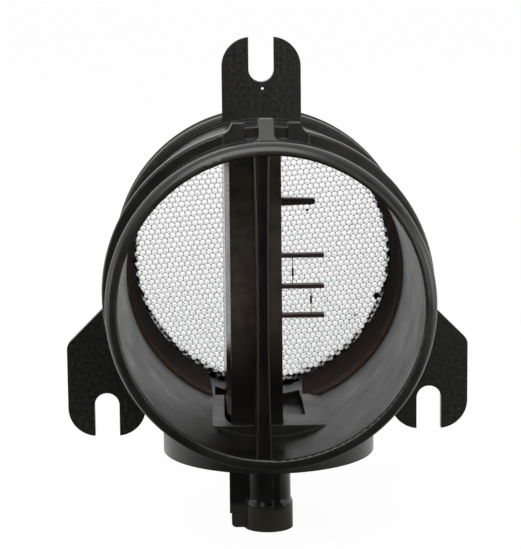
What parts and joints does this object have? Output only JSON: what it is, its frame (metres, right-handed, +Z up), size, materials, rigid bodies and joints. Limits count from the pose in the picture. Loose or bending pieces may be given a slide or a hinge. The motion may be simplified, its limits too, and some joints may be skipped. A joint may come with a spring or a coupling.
{
  "type": "mass airflow sensor",
  "caption": "Round moulded duct that measures engine intake air, with a slotted clamp flange, honeycomb flow screen, hot-wire strut and a pod with a round plug socket.",
  "frame": {"origin": "on the duct's axis, in the clamp flange's mating face, where the register enters the air box", "axes": "+Y along the duct's axis, upstream into the air box; -Y to the hose end; +Z up; the pod and its plug socket hang along -Z"},
  "size_m": [0.1136, 0.0955, 0.1309],
  "materials": {
    "moulded_nylon": "satin black",
    "cover_nylon": "satin black",
    "flange_steel": "black coated",
    "seal_rubber": "matt black",
    "screen_foil": "bright honeycomb foil",
    "ring_steel": "bright spring steel",
    "arm_metal": "black coated",
    "element_ceramic": "glazed dark",
    "board_laminate": "green solder resist",
    "chip_resin": "matt black",
    "capacitor_ceramic": "fired tan",
    "spreader_aluminium": "plain",
    "terminal_brass": "tinned"
  },
  "bodies": {
    "root": {"duct_housing": "moulded_nylon", "flange_plate": "flange_steel", "inlet_seal": "seal_rubber", "screen_liner": "moulded_nylon", "flow_screen": "screen_foil", "snap_ring": "ring_steel", "sensor_strut": "moulded_nylon", "support_arm_1": "arm_metal", "support_arm_2": "arm_metal", "support_arm_3": "arm_metal", "temperature_probe": "arm_metal", "heater_element": "element_ceramic", "reference_element": "element_ceramic", "circuit_board": "board_laminate", "control_chip": "chip_resin", "driver_chip": "chip_resin", "heat_spreader": "spreader_aluminium", "filter_capacitor_1": "capacitor_ceramic", "filter_capacitor_2": "capacitor_ceramic", "pod_cover": "cover_nylon", "pod_gasket": "seal_rubber", "terminal_1": "terminal_brass", "terminal_2": "terminal_brass", "terminal_3": "terminal_brass", "terminal_4": "terminal_brass", "terminal_5": "terminal_brass"}
  },
  "joints": []
}
